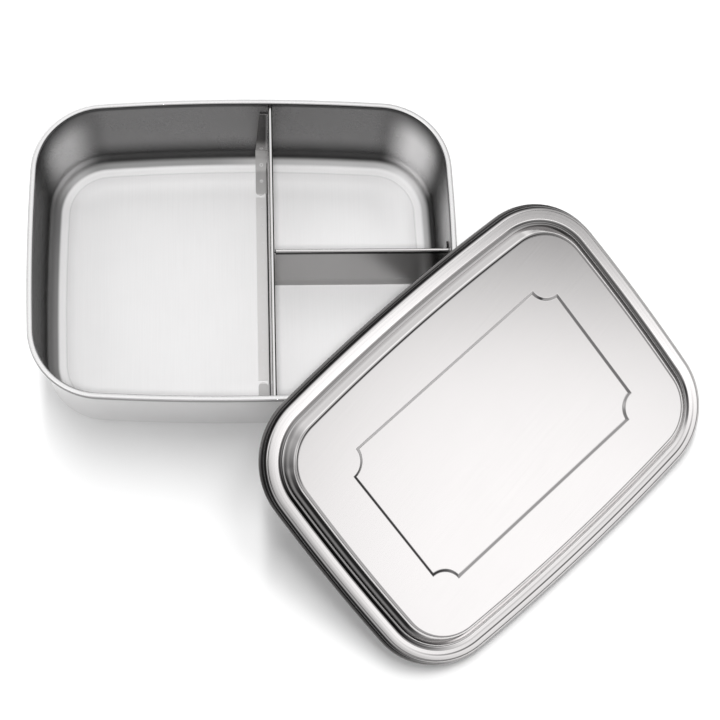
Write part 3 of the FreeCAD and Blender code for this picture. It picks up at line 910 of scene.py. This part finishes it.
# %% [markdown]
# ## Dress the pieces
# The box is one sheet with two faces, so it wears one finish inside and another outside. It could
# be cut into two objects, but then the sheet would be open at the bead. Its faces come in the
# order of its rings, so a count of rings tells which side a face is on. The dividers are the
# imported ones, and only their finish changes.

# %% Each piece gets its finish


def wears(piece, *materials):
    """The piece's materials are these, in the order of its face indices."""
    piece.data.materials.clear()
    for material in materials:
        piece.data.materials.append(material)


def mark_outside(piece, rings_inside, rings_all):
    """Faces past the inner rings are outside. The floor's own fan comes after all the quads."""
    index = np.arange(len(piece.data.polygons))
    fan = (rings_all - 1) * len(rim)
    outside = (index >= rings_inside * len(rim)) & ((index < fan) | (index >= fan + len(rim)))
    piece.data.polygons.foreach_set("material_index", outside.astype(np.int32))
    print(piece.name, "faces inside", int((~outside).sum()), "outside", int(outside.sum()))


dividers = [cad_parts["main_divider"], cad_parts["cross_divider"]]
welds = [main_spots, cross_spots, tab_spots]
wears(box, inside_steel, outside_steel)
mark_outside(box, inside_rings, len(shell_rings))
wears(lid, lid_steel)
for weld in welds:
    wears(weld, weld_steel)
for divider in dividers:
    wears(divider, divider_steel)

# %% [markdown]
# ## The table
# The table is a wide pale sheet that takes the shadow of the box. To the camera and in the steel
# it is lifted a little towards white. More lamp light could do that too, but it would bleach the
# steel, so the lift is in the table's own finish. From below the table is clear, so the base can
# be looked at.

# %% The table
TABLE_SIZE = 14.0
TABLE_DROP = 0.0002
TABLE_LIFT = 0.03
TABLE_PALE = (0.86, 0.86, 0.86, 1)
WHITE = (1, 1, 1, 1)
LIFTED_RAYS = ("Is Camera Ray", "Is Glossy Ray", "Is Transmission Ray")


def table_finish():
    """Dull and pale with a little light of its own where it is seen, and clear from below."""
    material = bpy.data.materials.new("table_white")
    tree = Tree(material)
    seen = sum(tree.node("ShaderNodeLightPath", {}, {}, ray) for ray in LIFTED_RAYS).clip()
    pale = tree.node("ShaderNodeBsdfDiffuse", {}, {"Color": TABLE_PALE})
    lift = tree.node("ShaderNodeEmission", {}, {"Color": WHITE, "Strength": seen * TABLE_LIFT})
    top = tree.node("ShaderNodeAddShader", {}, {0: pale, 1: lift})
    below = tree.node("ShaderNodeNewGeometry", {}, {}, "Backfacing")
    clear = tree.node("ShaderNodeBsdfTransparent", {}, {})
    sheet = tree.node("ShaderNodeMixShader", {}, {0: below, 1: top, 2: clear})
    tree.node("ShaderNodeOutputMaterial", {}, {"Surface": sheet})
    return material


table_mesh = bpy.data.meshes.new("table")
table_corners = np.array([(-1, -1, 0), (1, -1, 0), (1, 1, 0), (-1, 1, 0)]) * TABLE_SIZE / 2
table_corners = table_corners - (0, 0, TABLE_DROP)
table_mesh.from_pydata(table_corners.tolist(), [], [(0, 1, 2, 3)])
table = bpy.data.objects.new("table", table_mesh)
bpy.context.scene.collection.objects.link(table)
wears(table, table_finish())
print("table", TABLE_SIZE, "m wide")

# %% [markdown]
# ## The room
# Steel shows what stands around it. In a studio that is a white tent: bright overhead, grey at
# the sides and dark near the table, with a pale line at the horizon. Openings in the tent show as
# dark patches, and screens and lit cloth as pale ones. They could be modelled as panels, but as
# soft round patches on the sky each one goes exactly where its reflection is wanted.

# %% The tent and its patches
TENT_DARK = 0.06
TENT_SIDES = 0.42
TENT_SIDES_RISE = (0.15, 0.45)
TENT_TOP = 0.5
TENT_TOP_RISE = (0.7, 0.95)
HORIZON = 0.9
HORIZON_RISE = (0.16, 0.1)
# Strength and direction of a patch, and the angles in degrees at which it is full and gone.
PATCHES = [
    (-0.75, (0.03, -0.38, 0.92), 7, 19),       # the opening over the front
    (-0.35, (0.66, -0.08, 0.745), 2, 11),      # the opening on the right
    (1.03, (0.648, -0.356, 0.68), 0.5, 12.4),  # the screen at the front right
    (0.4, (-0.45, -0.15, 0.88), 6, 16),        # the screen on the left
    (0.1, (-0.2, -0.87, 0.42), 10, 32),        # lit cloth at the front
    (1.1, (-0.4, 0.88, 0.2), 12, 38),          # the backdrop at the back
    (0.7, (-1.0, 0.15, 0.15), 10, 36),         # the backdrop on the left
    (0.2, (0.92, 0.35, 0.15), 10, 35),         # lit cloth on the right
]
room = bpy.data.worlds.new("room")
bpy.context.scene.world = room
room_tree = Tree(room)
sight = room_tree.node("ShaderNodeTexCoord", {}, {}, "Generated")


def facing(direction):
    """Cosine of the angle between the way a ray goes and a direction."""
    unit = np.array(direction) / np.linalg.norm(direction)
    return room_tree.node("ShaderNodeVectorMath", {"operation": "DOT_PRODUCT"}, {
        0: sight, 1: unit.tolist()}, 1)


def soft_patch(strength, direction, full, gone):
    """Round patch: its strength up to the angle full, and none from the angle gone on."""
    start, end = np.cos(np.radians([gone, full])).tolist()
    return strength * facing(direction).rise(start, end)


up = facing((0, 0, 1))
tent = TENT_DARK + TENT_SIDES * up.rise(*TENT_SIDES_RISE) + TENT_TOP * up.rise(*TENT_TOP_RISE)
horizon = HORIZON * up.size().rise(*HORIZON_RISE)
glow = tent + horizon + sum(soft_patch(*patch) for patch in PATCHES)
air = room_tree.node("ShaderNodeBackground", {}, {"Color": WHITE, "Strength": glow})
room_tree.node("ShaderNodeOutputWorld", {}, {"Surface": air})
print("patches in the room", len(PATCHES), "nodes", len(room_tree.tree.nodes))

# %% [markdown]
# ## The lamps
# The light is soft, and the shadow of the lid lies longer than that of the box. One lamp for all
# could not do that, so each lamp has its own list of what it lights: a long one far above lights
# the table, a small one lights the table too but only the lid throws its shadow, and a third, high
# up at the front, gives the steel its sheen. None of them shows in the steel, because the room
# does that.

# %% Three soft boxes
LAMP_UPRIGHT = (0, 1, 0.01)


def gathered(name, pieces):
    """Collection of some objects, for a lamp to look them up."""
    group = bpy.data.collections.new(name)
    for piece in pieces:
        group.objects.link(piece)
    return group


def soft_box(name, at, aim, size, radiance, lit, shading=()):
    """Area lamp at a place, turned to an aim, that lights some objects and isn't seen in steel.

    Its power is radiance * area * pi. Where shading is given, only those throw its shadow."""
    lamp = bpy.data.lights.new(name, "AREA")
    lamp.shape = "RECTANGLE"
    lamp.size, lamp.size_y = size
    lamp.energy = radiance * size[0] * size[1] * math.pi
    holder = bpy.data.objects.new(name, lamp)
    bpy.context.scene.collection.objects.link(holder)
    back = np.array(at, float) - np.array(aim, float)
    back /= np.linalg.norm(back)
    right = np.cross(LAMP_UPRIGHT, back)
    right /= np.linalg.norm(right)
    turn = np.eye(4)
    turn[:3, :3] = np.stack([right, np.cross(back, right), back], axis=1)
    turn[:3, 3] = at
    holder.matrix_world = Matrix(turn.tolist())
    holder.visible_camera = False
    holder.visible_glossy = False
    holder.light_linking.receiver_collection = gathered(name + "_lights", lit)
    if shading:
        holder.light_linking.blocker_collection = gathered(name + "_shades", shading)
    print(name, "watts", round(lamp.energy, 2), "lights", [piece.name for piece in lit])


soft_box(
    "table_lamp", at=(-0.4, 4.0, 12.0), aim=(0.05, -0.03, 0),
    size=(1.2, 9.0), radiance=28.0, lit=[table])
soft_box(
    "lid_shade_lamp", at=(0.38, 0.18, 1.25), aim=(0.05, -0.13, 0),
    size=(0.3, 0.3), radiance=9.8, lit=[table], shading=[lid])
soft_box(
    "front_lamp", at=(-0.003, -0.353, 0.981), aim=(0.03, -0.03, 0),
    size=(0.1, 0.1), radiance=228.0, lit=[box, *welds, lid, *dividers])

# %% [markdown]
# ## The camera
# The camera stands almost overhead, a little in front of the box and turned a few degrees, with a
# long lens. It could be aimed by a constraint, but that leaves no say over its roll, so its place
# is an azimuth, an elevation and a distance from a point on the table, and its axes are worked
# out.

# %% The camera
CAMERA_LENS = 98.571
CAMERA_AZIMUTH = -11.399
CAMERA_ELEVATION = 71.971
CAMERA_ROLL = 10.219
CAMERA_DISTANCE = 1.031705
CAMERA_AIM = np.array([0.060408, -0.040385, 0.0])


def camera_matrix():
    """Columns right, up and back: back points from the aim to the camera, and roll turns the rest.

    Back is (sin azimuth cos elevation, -cos azimuth cos elevation, sin elevation)."""
    azimuth, elevation, roll = np.radians([CAMERA_AZIMUTH, CAMERA_ELEVATION, CAMERA_ROLL])
    level = np.cos(elevation)
    back = np.array([np.sin(azimuth) * level, -np.cos(azimuth) * level, np.sin(elevation)])
    right = np.array([np.cos(azimuth), np.sin(azimuth), 0])
    above = np.cross(back, right)
    turn = np.eye(4)
    turn[:3, 0] = right * np.cos(roll) + above * np.sin(roll)
    turn[:3, 1] = above * np.cos(roll) - right * np.sin(roll)
    turn[:3, 2] = back
    turn[:3, 3] = CAMERA_AIM + CAMERA_DISTANCE * back
    return Matrix(turn.tolist())


camera = bpy.data.objects.new("camera", bpy.data.cameras.new("camera"))
bpy.context.scene.collection.objects.link(camera)
camera.data.lens = CAMERA_LENS
camera.matrix_world = camera_matrix()
bpy.context.scene.camera = camera
bpy.context.scene.view_settings.view_transform = "Standard"
print("camera at", camera.matrix_world.translation.to_tuple(3))
